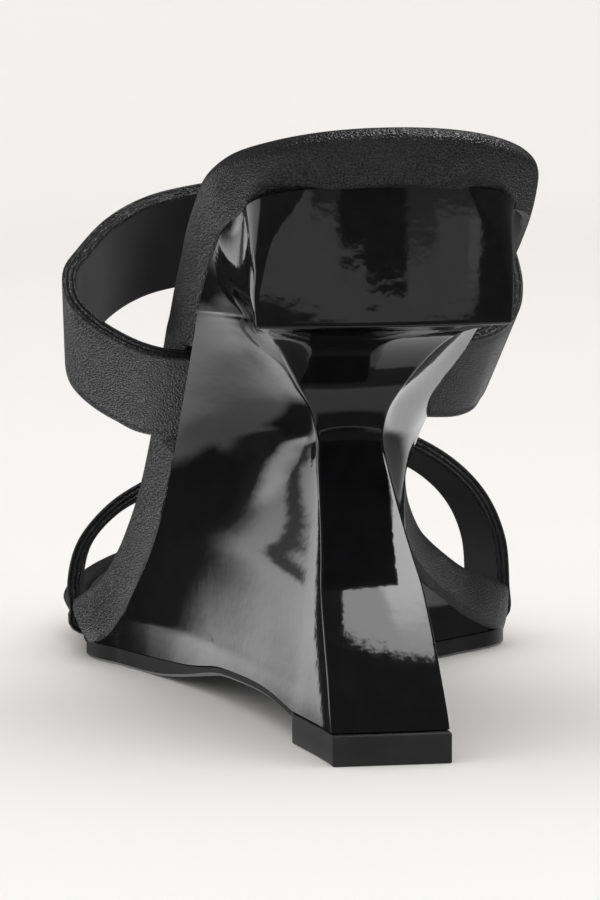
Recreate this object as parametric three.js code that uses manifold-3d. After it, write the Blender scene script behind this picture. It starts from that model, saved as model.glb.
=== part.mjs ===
// Left shoe of a pair of high wedge-heel mule sandals with two straps, size EU 38, in millimetres.
// X points to the inner side of the foot, Y to the toe, Z up. Every shape is worked out from the sizes below.
import * as THREE from "three";
import { mergeVertices } from "three/addons/utils/BufferGeometryUtils.js";
import Module from "manifold-3d";

const wasm = await Module();
wasm.setup();

// Footbed sizes, measured level with the floor
const bedLength = 218;
const seatHeight = 112;
const seatWidth = 60.5;
const waistWidth = 52;
const ballWidth = 83.5;
const heelRound = 26;
const heelSquareness = 2.15;
const toeSquareness = 2.3;
const toeRound = 54;
const toeSpring = 5;
const rimAtHeel = 9;
const rimAtToe = 7.2;
const rimBorder = 5;
const rimCrown = 2.1;
const rimFall = 4;
const seamInsetOuter = 3.2;
const seamInsetInner = 1.4;
const cupDepth = 1.6;

// Sock, sole and lift
const sockThickness = 1.2;
const sockDrop = 0.3;
const sockEdge = 0.4;
const soleForefoot = 3.4;
const soleWaist = 1.5;
const soleInset = 0.6;
const soleEdgeRound = 0.5;
const archRise = 3.5;
const liftThickness = 5.5;
const liftLength = 28;
const liftWidth = 21.3;
const liftSetback = 2;
const treadStart = 0.56;

// Wedge: a block under the seat, a C-shaped recess below it, and a column that runs down to the lift
const blockUnderside = 76.6;
const blockWidth = 45.5;
const blockSetback = 2.5;
const blockBow = 3.5;
const neckHeight = 54;
const neckWidth = 11.3;
const recessDepth = 38.5;
const flankHollow = 5;
const flankLength = 132;
const flankShortest = 12;
const wedgeLength = 140;

// Straps
const strapThickness = 2.6;
const strapEdgeRound = 0.7;
const tuckDepth = 6;
const instepStrapWidth = 28;
const instepStrapEnd = 23;
const instepStrapTaper = 0.075;
const instepStrapPlace = 74.5;
const instepStrapSpan = 85;
const instepStrapRise = 42.5;
const instepStrapCentre = -4;
const toeStrapWidth = 18;
const toeStrapPlace = 152;
const toeStrapRise = 41.5;
const toeStrapTilt = THREE.MathUtils.degToRad(16);

const clearance = 0.3;
const stations = 34;
const strapSteps = 44;

const forefootHeight = soleForefoot + clearance + rimAtToe;
const soleStart = liftSetback + liftLength + clearance;

// Width of the rim along the bed: the named size it follows, its share of that size, and the share on the outer side
const outline = [
  { along: 0, size: seatWidth, share: 1, outer: 0.495 },
  { along: 0.12, size: seatWidth, share: 1, outer: 0.493 },
  { along: 0.2, size: seatWidth, share: 0.995, outer: 0.498 },
  { along: 0.28, size: seatWidth, share: 0.926, outer: 0.529 },
  { along: 0.36, size: waistWidth, share: 0.981, outer: 0.576 },
  { along: 0.44, size: waistWidth, share: 0.965, outer: 0.584 },
  { along: 0.5, size: waistWidth, share: 1.035, outer: 0.555 },
  { along: 0.56, size: ballWidth, share: 0.745, outer: 0.5 },
  { along: 0.61, size: ballWidth, share: 0.86, outer: 0.45 },
  { along: 0.67, size: ballWidth, share: 0.965, outer: 0.42 },
  { along: 0.72, size: ballWidth, share: 1, outer: 0.413 },
  { along: 0.8, size: ballWidth, share: 1, outer: 0.415 },
  { along: 1, size: ballWidth, share: 0.94, outer: 0.4 },
];

// Height of the bed between the ball, 0, and the seat, 1
const bedRise = [
  { along: 0, rise: 1.004 },
  { along: 0.035, rise: 0.975 },
  { along: 0.078, rise: 0.941 },
  { along: 0.147, rise: 0.868 },
  { along: 0.216, rise: 0.776 },
  { along: 0.284, rise: 0.66 },
  { along: 0.353, rise: 0.525 },
  { along: 0.422, rise: 0.382 },
  { along: 0.491, rise: 0.253 },
  { along: 0.55, rise: 0.156 },
  { along: 0.606, rise: 0.078 },
  { along: 0.66, rise: 0.022 },
  { along: 0.72, rise: 0 },
  { along: 1, rise: 0 },
];

// Underside of the sole between the lift, 0, and the tread, 1, as a share of archRise
const archBump = [
  { along: 0, bump: 0 },
  { along: 0.2, bump: 0.75 },
  { along: 0.45, bump: 1 },
  { along: 0.57, bump: 0.93 },
  { along: 0.78, bump: 0.32 },
  { along: 0.91, bump: 0.04 },
  { along: 1, bump: 0 },
];

// Column from the lift, 0, to the neck, 1: depth as a share of recessDepth, spread from neckWidth to liftWidth,
// and the power with which the flanks flare to the seam
const columnSections = [
  { rise: -0.05, depth: 0, spread: 1, flare: 1.25 },
  { rise: 0.05, depth: 0.055, spread: 0.98, flare: 1.3 },
  { rise: 0.17, depth: 0.18, spread: 0.91, flare: 1.4 },
  { rise: 0.315, depth: 0.31, spread: 0.83, flare: 1.48 },
  { rise: 0.473, depth: 0.45, spread: 0.7, flare: 1.5 },
  { rise: 0.58, depth: 0.575, spread: 0.51, flare: 1.55 },
  { rise: 0.689, depth: 0.7, spread: 0.34, flare: 1.55 },
  { rise: 0.834, depth: 0.865, spread: 0.15, flare: 1.55 },
  { rise: 0.92, depth: 0.95, spread: 0.05, flare: 1.55 },
];

// Cove from the neck, 0, to the underside of the block, 1: the spread from neckWidth to blockWidth, and how far
// the flanks are hollowed as a share of flankHollow
const coveSections = [
  { rise: 0, depth: 1, spread: 0, flare: 1.55, hollow: 0 },
  { rise: 0.22, depth: 1, spread: 0.07, flare: 1.5, hollow: 0 },
  { rise: 0.44, depth: 0.95, spread: 0.25, flare: 1.4, hollow: 0.16 },
  { rise: 0.66, depth: 0.82, spread: 0.44, flare: 1.3, hollow: 0.38 },
  { rise: 0.82, depth: 0.65, spread: 0.6, flare: 1.2, hollow: 0.52 },
  { rise: 0.907, depth: 0.47, spread: 0.745, flare: 1.15, hollow: 0.68 },
  { rise: 0.956, depth: 0.28, spread: 0.86, flare: 1.15, hollow: 0.84 },
  { rise: 0.985, depth: 0.15, spread: 0.94, flare: 1.15, hollow: 0.96 },
];

// Block from its underside, 0, to the top of the seat, 1
const blockSections = [
  { rise: 0, spread: 1, flare: 1.15, hollow: 1 },
  { rise: 0.04, spread: 1.004, flare: 1.15, hollow: 0.84 },
  { rise: 0.15, spread: 1.02, flare: 1.15, hollow: 0.38 },
  { rise: 0.27, spread: 1.03, flare: 1.15, hollow: 0.12 },
  { rise: 0.5, spread: 1.05, flare: 1.15, hollow: 0 },
  { rise: 0.75, spread: 1.03, flare: 1.1, hollow: 0 },
  { rise: 1.1, spread: 0.98, flare: 1.1, hollow: 0 },
];

// Instep strap beside the foot, from the seam, 0, out to its widest, 1, and then over the foot
const instepSide = [
  { out: 0.22, rise: 0.045 },
  { out: 0.47, rise: 0.095 },
  { out: 0.79, rise: 0.215 },
  { out: 0.97, rise: 0.338 },
  { out: 1, rise: 0.439 },
];
const instepTop = [
  { side: 0.985, rise: 0.518 },
  { side: 0.924, rise: 0.608 },
  { side: 0.788, rise: 0.766 },
  { side: 0.61, rise: 0.883 },
  { side: 0.366, rise: 0.953 },
  { side: 0, rise: 1 },
];

// Toe strap from the outer side to the inner: share of the rim's width on that side, share of toeStrapRise
const toePath = [
  { side: -1, rise: 0.14 },
  { side: -1.01, rise: 0.28 },
  { side: -0.955, rise: 0.45 },
  { side: -0.79, rise: 0.61 },
  { side: -0.57, rise: 0.72 },
  { side: -0.2, rise: 0.86 },
  { side: 0.15, rise: 0.97 },
  { side: 0.42, rise: 0.975 },
  { side: 0.643, rise: 0.885 },
  { side: 0.81, rise: 0.76 },
  { side: 0.92, rise: 0.61 },
  { side: 0.985, rise: 0.42 },
  { side: 1, rise: 0.2 },
];

// Smooth value of a table's column between its rows
function valueAt(table, key, read, at) {
  const last = table.length - 1;
  let i = 0;
  while (i < last - 1 && at > table[i + 1][key]) i += 1;
  const slope = (k) => {
    const a = table[Math.max(k - 1, 0)];
    const b = table[Math.min(k + 1, last)];
    return (read(b) - read(a)) / (b[key] - a[key]);
  };
  const span = table[i + 1][key] - table[i][key];
  const t = THREE.MathUtils.clamp((at - table[i][key]) / span, 0, 1);
  const t2 = t * t;
  const t3 = t2 * t;
  return (
    (2 * t3 - 3 * t2 + 1) * read(table[i]) +
    (t3 - 2 * t2 + t) * span * slope(i) +
    (3 * t2 - 2 * t3) * read(table[i + 1]) +
    (t3 - t2) * span * slope(i + 1)
  );
}

// The footbed

// 1 away from an end, running down to 0 at it in a round of a given length
function roundOff(distance, length, squareness) {
  const t = THREE.MathUtils.clamp(1 - distance / length, 0, 1);
  return Math.pow(1 - Math.pow(t, squareness), 1 / squareness);
}

function endRound(y) {
  return roundOff(y, heelRound, heelSquareness) * roundOff(bedLength - y, toeRound, toeSquareness);
}

// X of the rim's outer and inner side at a place along the bed
function rimSides(y) {
  const along = THREE.MathUtils.clamp(y / bedLength, 0, 1);
  const width = valueAt(outline, "along", (row) => row.size * row.share, along);
  const outerShare = valueAt(outline, "along", (row) => row.outer, along);
  const centre = width * (0.5 - outerShare);
  const half = (width / 2) * endRound(y);
  return { outer: centre - half, inner: centre + half };
}

// X of the seam under the rim
function seamSides(y) {
  const rim = rimSides(y);
  return { outer: rim.outer + seamInsetOuter, inner: rim.inner - seamInsetInner };
}

function springAt(y) {
  const t = Math.max(0, (y / bedLength - 0.8) / 0.2);
  return toeSpring * t * t;
}

function bedHeight(y) {
  const rise = valueAt(bedRise, "along", (row) => row.rise, y / bedLength);
  return forefootHeight + (seatHeight - forefootHeight) * rise + springAt(y);
}

function bedThickness(y) {
  return THREE.MathUtils.lerp(rimAtHeel, rimAtToe, THREE.MathUtils.smoothstep(y / bedLength, 0.35, 0.65));
}

// The bed's thickness stands upright at the heel and square to the bed on the slope
function bedLean(y) {
  const slope = Math.atan(Math.max(0, bedHeight(y - 1) - bedHeight(y + 1)) / 2);
  return slope * THREE.MathUtils.smoothstep(y, 0, heelRound * 1.8);
}

// A point at x, y on the bed's top, raised by h square to the bed
function bedPoint(x, y, h) {
  const lean = bedLean(y);
  return new THREE.Vector3(x, y + h * Math.sin(lean), bedHeight(y) + h * Math.cos(lean));
}

function undersidePoint(y, below) {
  return bedPoint(0, y, -bedThickness(y) - below);
}

// Where the underside comes down to a height
function undersideReach(z) {
  let low = 0;
  let high = bedLength * 0.75;
  for (let i = 0; i < 40; i += 1) {
    const middle = (low + high) / 2;
    if (undersidePoint(middle, 0).z > z) low = middle;
    else high = middle;
  }
  return undersidePoint(low, 0).y;
}

// Meshes and solids

class Surface {
  constructor() {
    this.positions = [];
  }

  triangle(a, b, c) {
    const area = new THREE.Triangle(a, b, c).getArea();
    if (area > 1e-5) this.positions.push(...a.toArray(), ...b.toArray(), ...c.toArray());
  }

  quad(a, b, c, d) {
    this.triangle(a, b, c);
    this.triangle(a, c, d);
  }

  grid(rows) {
    for (let i = 0; i + 1 < rows.length; i += 1)
      for (let j = 0; j + 1 < rows[i].length; j += 1)
        this.quad(rows[i][j], rows[i][j + 1], rows[i + 1][j + 1], rows[i + 1][j]);
  }

  solid() {
    const geometry = new THREE.BufferGeometry();
    geometry.setAttribute("position", new THREE.Float32BufferAttribute(this.positions, 3));
    return solidOf(geometry);
  }
}

// A closed geometry as a solid whose faces point out
function solidOf(geometry) {
  geometry.deleteAttribute("normal");
  geometry.deleteAttribute("uv");
  const merged = mergeVertices(geometry, 1e-3);
  const points = merged.attributes.position.array;
  const all = Array.from(merged.index ? merged.index.array : points.keys());
  const corners = [];
  for (let i = 0; i < all.length; i += 3) {
    const [a, b, c] = all.slice(i, i + 3);
    if (a !== b && b !== c && a !== c) corners.push(a, b, c);
  }
  const build = (order) =>
    new wasm.Manifold(
      new wasm.Mesh({ numProp: 3, vertProperties: points, triVerts: new Uint32Array(order) }),
    );
  const made = build(corners);
  return made.volume() > 0 ? made : build(corners.reverse());
}

function geometryOf(solid) {
  const mesh = solid.getMesh();
  const geometry = new THREE.BufferGeometry();
  const points = [];
  for (let i = 0; i < mesh.vertProperties.length; i += mesh.numProp)
    points.push(...mesh.vertProperties.slice(i, i + 3));
  geometry.setAttribute("position", new THREE.Float32BufferAttribute(points, 3));
  geometry.setIndex(new THREE.BufferAttribute(mesh.triVerts, 1));
  const faceted = geometry.toNonIndexed();
  faceted.computeVertexNormals();
  return faceted;
}

// A side profile, drawn in Y and Z, run across the whole width
function across(profile) {
  const reach = ballWidth;
  const shape = new THREE.Shape(profile.map((p) => new THREE.Vector2(p.y, p.z)));
  const geometry = new THREE.ExtrudeGeometry(shape, { depth: 2 * reach, bevelEnabled: false });
  const turn = new THREE.Matrix4().makeBasis(
    new THREE.Vector3(0, 1, 0),
    new THREE.Vector3(0, 0, 1),
    new THREE.Vector3(1, 0, 0),
  );
  geometry.applyMatrix4(turn);
  geometry.translate(-reach, 0, 0);
  return solidOf(geometry);
}

// Stations along a piece, closer together at its rounded ends
function stationsFrom(start, end, roundStart) {
  const rows = [];
  for (let i = 0; i <= stations; i += 1) {
    const t = i / stations;
    const share = roundStart ? (1 - Math.cos(Math.PI * t)) / 2 : Math.sin((Math.PI * t) / 2);
    rows.push(start + (end - start) * share);
  }
  return rows;
}

// Closed ring around a plan outline, given as its sides at each station, moved inwards by an inset
function insetRing(rows, sides, insetOf) {
  const outer = rows.map((y) => new THREE.Vector2(sides(y).outer, y));
  const inner = rows.map((y) => new THREE.Vector2(sides(y).inner, y)).reverse();
  const loop = [...outer, ...inner];
  const count = loop.length;
  const other = (i, step) => {
    let k = (i + step + count) % count;
    while (loop[k].distanceTo(loop[i]) < 1e-6) k = (k + step + count) % count;
    return loop[k];
  };
  return loop.map((point, i) => {
    const along = other(i, 1).clone().sub(other(i, -1)).normalize();
    const outward = new THREE.Vector2(-along.y, along.x);
    const inset = insetOf(THREE.MathUtils.clamp((1 + outward.x) / 2, 0, 1));
    return point.clone().addScaledVector(outward, -inset);
  });
}

// Solid from rings stacked on each other, closed by strips across the first and the last of them
function stackedRings(rings, place, dishOf) {
  const surface = new Surface();
  surface.grid(rings.map((ring) => [...ring.loop, ring.loop[0]].map((p) => place(p.x, p.y, ring.height))));
  for (const ring of [rings[0], rings.at(-1)]) {
    const columns = ring.dished ? 6 : 1;
    const half = ring.loop.length / 2;
    const rows = [];
    for (let i = 0; i < half; i += 1) {
      const a = ring.loop[i];
      const b = ring.loop[ring.loop.length - 1 - i];
      const row = [];
      for (let j = 0; j <= columns; j += 1) {
        const t = j / columns;
        const point = a.clone().lerp(b, t);
        const dish = ring.dished ? dishOf(point.y) * 4 * t * (1 - t) : 0;
        row.push(place(point.x, point.y, (p) => heightOf(ring.height, p) - dish));
      }
      rows.push(row);
    }
    if (ring !== rings[0]) rows.reverse();
    surface.grid(rows);
  }
  return surface.solid();
}

// A ring's height is a number, or depends on the place along the shoe
function heightOf(height, y) {
  return typeof height === "function" ? height(y) : height;
}

function onBed(x, y, height) {
  return bedPoint(x, y, heightOf(height, y));
}

// The seat is cupped, and the bed runs flat towards the toe
function cupAt(y) {
  return cupDepth * (1 - THREE.MathUtils.smoothstep(y / bedLength, 0.25, 0.7));
}

function footbedSolid() {
  const rows = stationsFrom(0, bedLength, true);
  const seam = (t) => THREE.MathUtils.lerp(seamInsetOuter, seamInsetInner, t);
  // Inset as a share of the seam's inset, and height as a share of the rim's thickness, from the seam up
  const roll = [
    { inset: 1, height: -1 },
    { inset: 0.62, height: -0.82 },
    { inset: 0.28, height: -0.6 },
    { inset: 0.06, height: -0.4 },
    { inset: 0, height: -0.25 },
    { inset: 0.2, height: -0.09 },
  ];
  const rings = roll.map((row) => ({
    loop: insetRing(rows, rimSides, (t) => row.inset * seam(t)),
    height: (y) => row.height * bedThickness(y),
  }));
  rings.push({ loop: insetRing(rows, rimSides, () => rimCrown), height: 0 });
  rings.push({ loop: insetRing(rows, rimSides, () => rimFall), height: -sockDrop });
  rings.push({
    loop: insetRing(rows, rimSides, () => rimBorder),
    height: -sockDrop - sockThickness - clearance,
    dished: true,
  });
  return stackedRings(rings, onBed, cupAt);
}

function sockSolid() {
  const rows = stationsFrom(0, bedLength, true);
  const edge = insetRing(rows, rimSides, () => rimBorder + clearance);
  const bevelled = insetRing(rows, rimSides, () => rimBorder + clearance + sockEdge);
  return stackedRings(
    [
      { loop: edge, height: -sockDrop - sockThickness, dished: true },
      { loop: edge, height: -sockDrop - sockEdge },
      { loop: bevelled, height: -sockDrop, dished: true },
    ],
    onBed,
    cupAt,
  );
}

// The wedge

// Height, depth of the back face, half width there and flare of every section of the wedge, from the lift up
function wedgeLevels() {
  const base = liftThickness + clearance;
  const column = columnSections.map((row) => ({
    z: base + (neckHeight - base) * row.rise,
    back: liftSetback + recessDepth * row.depth,
    half: (neckWidth + (liftWidth - neckWidth) * row.spread) / 2,
    flare: row.flare,
    hollow: 0,
    bow: 0,
  }));
  const cove = coveSections.map((row) => ({
    z: neckHeight + (blockUnderside - neckHeight) * row.rise,
    back: liftSetback + recessDepth * row.depth,
    half: (neckWidth + (blockWidth - neckWidth) * row.spread) / 2,
    flare: row.flare,
    hollow: flankHollow * row.hollow,
    bow: blockBow * row.spread * row.spread,
  }));
  const block = blockSections.map((row) => ({
    z: blockUnderside + (seatHeight - blockUnderside) * row.rise,
    back: liftSetback + blockSetback,
    half: (blockWidth * row.spread) / 2,
    flare: row.flare,
    hollow: flankHollow * row.hollow,
    bow: blockBow,
  }));
  return [...column, ...cove, ...block];
}

// X of the wedge's flanks at a place along the shoe, for one section of the wedge
function flankSides(level, y) {
  const seam = seamSides(y);
  const reach = Math.max(level.back + flankShortest, Math.min(undersideReach(level.z), flankLength));
  const t = THREE.MathUtils.clamp((y - level.back) / (reach - level.back), 0, 1);
  const flare = Math.pow(t, level.flare);
  const drawn = level.hollow * Math.sin(Math.PI * Math.pow(t, 1.5));
  return {
    outer: THREE.MathUtils.lerp(-level.half, seam.outer, flare) + drawn,
    inner: THREE.MathUtils.lerp(level.half, seam.inner, flare) - drawn,
  };
}

// The foot of the wedge sets the outline of the lift and of the sole's waist
function footSides(y) {
  return flankSides(wedgeLevels()[0], y);
}

function wedgeSolid() {
  const flankRows = 13;
  const columns = 6;
  const grids = wedgeLevels().map((level) => {
    const reach = Math.max(level.back + flankShortest, Math.min(undersideReach(level.z), wedgeLength));
    const front = Math.max(reach + 0.5, Math.min(reach + 25, wedgeLength));
    const rows = [];
    for (let i = 0; i <= flankRows + 1; i += 1) {
      const t = Math.min(i / flankRows, 1);
      const y = i > flankRows ? front : level.back + (reach - level.back) * t;
      const sides = flankSides(level, y);
      const row = [];
      for (let j = 0; j <= columns; j += 1) {
        const c = j / columns;
        const bow = level.bow * (1 - t) * Math.pow(2 * c - 1, 2);
        row.push(new THREE.Vector3(THREE.MathUtils.lerp(sides.outer, sides.inner, c), y + bow, level.z));
      }
      rows.push(row);
    }
    return rows;
  });
  const surface = new Surface();
  surface.grid([...grids[0]].reverse());
  surface.grid(grids.at(-1));
  surface.grid(grids.map((rows) => rows.map((row) => row.at(-1))));
  surface.grid(grids.map((rows) => rows.map((row) => row[0])).reverse());
  surface.grid(grids.map((rows) => rows[0]));
  surface.grid(grids.map((rows) => rows.at(-1)).reverse());
  return surface.solid();
}

// Everything above the bed's underside, with the clearance
function bedSpace() {
  const profile = [new THREE.Vector3(0, -bedLength, seatHeight * 2)];
  const back = undersidePoint(0, clearance);
  profile.push(new THREE.Vector3(0, -bedLength, back.z));
  for (let y = 0; y <= bedLength; y += bedLength / 44) profile.push(undersidePoint(y, clearance));
  profile.push(new THREE.Vector3(0, bedLength * 1.2, undersidePoint(bedLength, clearance).z));
  profile.push(new THREE.Vector3(0, bedLength * 1.2, seatHeight * 2));
  return across(profile);
}

// Everything below the wedge: lift and sole, with the clearance
function groundSpace() {
  const profile = [
    new THREE.Vector3(0, -bedLength, -seatHeight),
    new THREE.Vector3(0, -bedLength, liftThickness + clearance),
  ];
  const steps = 40;
  for (let i = 0; i <= steps; i += 1) {
    const y = soleStart + ((bedLength - soleStart) * i) / steps;
    profile.push(new THREE.Vector3(0, y, soleTop(y) + clearance));
  }
  profile.push(new THREE.Vector3(0, bedLength * 1.2, toeSpring + soleForefoot + clearance));
  profile.push(new THREE.Vector3(0, bedLength * 1.2, -seatHeight));
  return across(profile);
}

// The sole and the lift

// Share of the way from the lift to the tread of the forefoot
function archShare(y) {
  return THREE.MathUtils.clamp((y - soleStart) / (bedLength * treadStart - soleStart), 0, 1);
}

function soleBottom(y) {
  const share = archShare(y);
  const fall = (liftThickness - soleWaist) * (1 - share);
  return fall + archRise * valueAt(archBump, "along", (row) => row.bump, share) + springAt(y);
}

function soleTop(y) {
  const thickness = THREE.MathUtils.lerp(
    soleWaist,
    soleForefoot,
    THREE.MathUtils.smoothstep(archShare(y), 0.6, 1),
  );
  return soleBottom(y) + thickness;
}

// The sole follows the wedge's foot at the waist and the seam at the forefoot, a little inside both
function soleSides(y) {
  const sides = y < flankLength ? footSides(y) : seamSides(y);
  return { outer: sides.outer + soleInset, inner: sides.inner - soleInset };
}

function soleSolid() {
  const tip = bedLength - (seamInsetOuter + seamInsetInner) / 2 - soleInset;
  const rows = stationsFrom(soleStart, tip, false);
  // The tip is closed like the rim's, over the same length
  const sides = (y) => {
    const whole = soleSides(y);
    const middle = (whole.outer + whole.inner) / 2;
    const half = (whole.inner - whole.outer) / 2;
    const rim = roundOff(bedLength - y, toeRound, toeSquareness);
    const close = roundOff(tip - y, toeRound, toeSquareness);
    return { outer: middle - (half * close) / rim, inner: middle + (half * close) / rim };
  };
  const place = (x, y, height) => new THREE.Vector3(x, y, heightOf(height, y));
  const rim = insetRing(rows, sides, () => 0);
  return stackedRings(
    [
      { loop: insetRing(rows, sides, () => soleEdgeRound), height: soleBottom },
      { loop: rim, height: (y) => soleBottom(y) + soleEdgeRound },
      { loop: rim, height: soleTop },
    ],
    place,
    () => 0,
  );
}

function liftSolid() {
  const rows = [];
  const steps = 6;
  for (let i = 0; i <= steps; i += 1) rows.push(liftSetback + (liftLength * i) / steps);
  const shape = new THREE.Shape([
    ...rows.map((y) => new THREE.Vector2(footSides(y).inner, y)),
    ...rows.map((y) => new THREE.Vector2(footSides(y).outer, y)).reverse(),
  ]);
  return solidOf(new THREE.ExtrudeGeometry(shape, { depth: liftThickness, bevelEnabled: false }));
}

// The straps

// A flat band along a path drawn across the foot. The path's plane stands on the anchor and leans forward by
// stand; the band's width lies along the foot, turned down by endTilt at its ends and by topTilt over the foot.
// Its back edge stays in one plane, and the front edge reaches from endWidth at the ends to width over the foot
// and draws in by taper.
function strapSolid({ path, middle, anchor, stand, endTilt, topTilt, width, endWidth, taper }, grow) {
  const half = strapThickness / 2 + grow;
  const round = strapEdgeRound;
  const back = -endWidth / 2 - grow;
  const sectionAt = (front) => [
    [half, front - round],
    [half, back + round],
    [half - round, back],
    [round - half, back],
    [-half, back + round],
    [-half, front - round],
    [round - half, front],
    [half - round, front],
  ];
  const curve = new THREE.CatmullRomCurve3(path, false, "centripetal");
  const rings = [];
  for (let i = 0; i <= strapSteps; i += 1) {
    const t = i / strapSteps;
    const centre = curve.getPointAt(t);
    const run = curve.getTangentAt(t);
    if (i === 0) centre.addScaledVector(run, -grow);
    if (i === strapSteps) centre.addScaledVector(run, grow);
    const tilt = THREE.MathUtils.lerp(endTilt, topTilt, Math.pow(Math.sin(Math.PI * t), 2));
    const front = THREE.MathUtils.lerp(endWidth / 2, width - endWidth / 2, Math.sin(Math.PI * t)) + grow;
    rings.push(
      sectionAt(front).map(([out, along]) => {
        const draw = (taper * (along - back)) / width;
        const x = THREE.MathUtils.lerp(centre.x - out * run.y, middle, draw);
        const up = centre.y + out * run.x;
        const y = anchor.y + up * Math.sin(stand) + along * Math.cos(tilt);
        const z = anchor.z + up * Math.cos(stand) - along * Math.sin(tilt);
        return new THREE.Vector3(x, y, z);
      }),
    );
  }
  const surface = new Surface();
  surface.grid(rings.map((ring) => [...ring, ring[0]]));
  for (const ring of [rings[0], [...rings.at(-1)].reverse()])
    for (let i = 1; i + 1 < ring.length; i += 1) surface.triangle(ring[0], ring[i + 1], ring[i]);
  return surface.solid();
}

function instepStrap() {
  const y = instepStrapPlace;
  const anchor = undersidePoint(y, 0);
  const before = undersidePoint(y - instepStrapEnd / 2, 0);
  const after = undersidePoint(y + instepStrapEnd / 2, 0);
  const slope = Math.atan2(before.z - after.z, after.y - before.y);
  const seam = seamSides(anchor.y);
  const tuck = strapThickness / 2;
  const halfSpan = instepStrapSpan / 2;
  const side = (corner, sign) => {
    const bulge = instepStrapCentre + sign * halfSpan;
    return [
      new THREE.Vector3(corner - sign * tuckDepth, tuck, 0),
      new THREE.Vector3(corner, tuck, 0),
      ...instepSide.map((row) => {
        const x = THREE.MathUtils.lerp(corner, bulge, row.out);
        return new THREE.Vector3(x, row.rise * instepStrapRise, 0);
      }),
      ...instepTop.map((row) => {
        const x = instepStrapCentre + sign * row.side * halfSpan;
        return new THREE.Vector3(x, row.rise * instepStrapRise, 0);
      }),
    ];
  };
  const outer = side(seam.outer, -1);
  const inner = side(seam.inner, 1).slice(0, -1).reverse();
  return {
    path: [...outer, ...inner],
    middle: instepStrapCentre,
    taper: instepStrapTaper,
    anchor,
    stand: slope,
    endTilt: slope,
    topTilt: slope,
    width: instepStrapWidth,
    endWidth: instepStrapEnd,
  };
}

function toeStrap() {
  const y = toeStrapPlace;
  const rim = rimSides(y);
  const seam = seamSides(y);
  const anchor = new THREE.Vector3(0, y, soleTop(y));
  const tuck = clearance + strapThickness / 2;
  const beside = clearance + strapThickness / 2;
  const over = toePath.map((row) => {
    const reach = row.side < 0 ? -(rim.outer - beside) : rim.inner + beside;
    return new THREE.Vector3(row.side * reach, row.rise * toeStrapRise, 0);
  });
  const end = (corner, edge, sign) => [
    new THREE.Vector3(corner - sign * tuckDepth, tuck, 0),
    new THREE.Vector3(corner, tuck, 0),
    new THREE.Vector3(edge + sign * beside, tuck * 2, 0),
  ];
  return {
    path: [...end(seam.outer, rim.outer, -1), ...over, ...end(seam.inner, rim.inner, 1).reverse()],
    middle: 0,
    taper: 0,
    anchor,
    stand: 0,
    endTilt: 0,
    topTilt: toeStrapTilt,
    width: toeStrapWidth,
    endWidth: toeStrapWidth,
  };
}

// The assembly

const leather = { color: 0x17171a, roughness: 0.55, metalness: 0 };
const lacquer = { color: 0x060607, roughness: 0.06, metalness: 0 };
const soleLeather = { color: 0x101012, roughness: 0.5, metalness: 0 };
const rubber = { color: 0x141416, roughness: 0.7, metalness: 0 };
const sockLeather = { color: 0x1d1d20, roughness: 0.6, metalness: 0 };

const shoe = new THREE.Group();
shoe.position.y = -liftSetback - liftLength / 2;

function addPiece(name, solid, look) {
  const piece = new THREE.Mesh(geometryOf(solid), new THREE.MeshStandardMaterial(look));
  piece.name = name;
  shoe.add(piece);
}

const instep = instepStrap();
const toe = toeStrap();
const instepSpace = strapSolid(instep, clearance);
const toeSpace = strapSolid(toe, clearance);

addPiece("heel_lift", liftSolid(), rubber);
addPiece("outsole", soleSolid(), soleLeather);
const wedge = wedgeSolid().subtract(bedSpace()).subtract(groundSpace()).subtract(instepSpace);
addPiece("wedge_heel", wedge, lacquer);
addPiece("footbed", footbedSolid().subtract(instepSpace).subtract(toeSpace), leather);
addPiece("insole_sock", sockSolid(), sockLeather);
addPiece("instep_strap", strapSolid(instep, 0), leather);
addPiece("toe_strap", strapSolid(toe, 0), leather);

const part = new THREE.Group();
part.add(shoe);

export default part;
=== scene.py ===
import math

import bmesh
import bpy
import numpy as np
from mathutils import Matrix, Vector


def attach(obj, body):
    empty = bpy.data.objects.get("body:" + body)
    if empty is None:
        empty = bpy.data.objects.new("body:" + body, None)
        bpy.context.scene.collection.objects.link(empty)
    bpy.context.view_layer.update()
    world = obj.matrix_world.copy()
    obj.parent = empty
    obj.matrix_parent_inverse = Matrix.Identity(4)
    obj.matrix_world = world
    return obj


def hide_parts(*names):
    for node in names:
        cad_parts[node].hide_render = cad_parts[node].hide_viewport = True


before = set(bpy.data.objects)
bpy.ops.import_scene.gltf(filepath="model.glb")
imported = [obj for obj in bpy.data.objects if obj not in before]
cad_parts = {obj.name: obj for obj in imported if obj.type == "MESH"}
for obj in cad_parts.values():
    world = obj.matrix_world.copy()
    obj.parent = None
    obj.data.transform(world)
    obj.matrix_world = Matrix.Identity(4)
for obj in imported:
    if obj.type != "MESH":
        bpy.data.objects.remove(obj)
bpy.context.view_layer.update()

scene = bpy.context.scene
print("frame loaded:", ", ".join(sorted(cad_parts)))

# Sizes are in metres. Along the shoe they start at the back of the rim, which lies behind the lift's middle.
shoe = {"rimBehindLift": 0.016, "gap": 0.0003}


def curveAt(rows, at, column=1):  # smooth value of a table's column between its rows
    last = len(rows) - 1
    i = 0
    while i < last - 1 and at > rows[i + 1][0]:
        i += 1

    def slope(k):
        a, b = rows[max(k - 1, 0)], rows[min(k + 1, last)]
        return (b[column] - a[column]) / (b[0] - a[0])

    span = rows[i + 1][0] - rows[i][0]
    t = min(max((at - rows[i][0]) / span, 0.0), 1.0)
    a, b = rows[i][column], rows[i + 1][column]
    rise = 3 * t * t - 2 * t ** 3
    return a + (b - a) * rise + span * ((t ** 3 - 2 * t * t + t) * slope(i) + (t ** 3 - t * t) * slope(i + 1))


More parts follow.
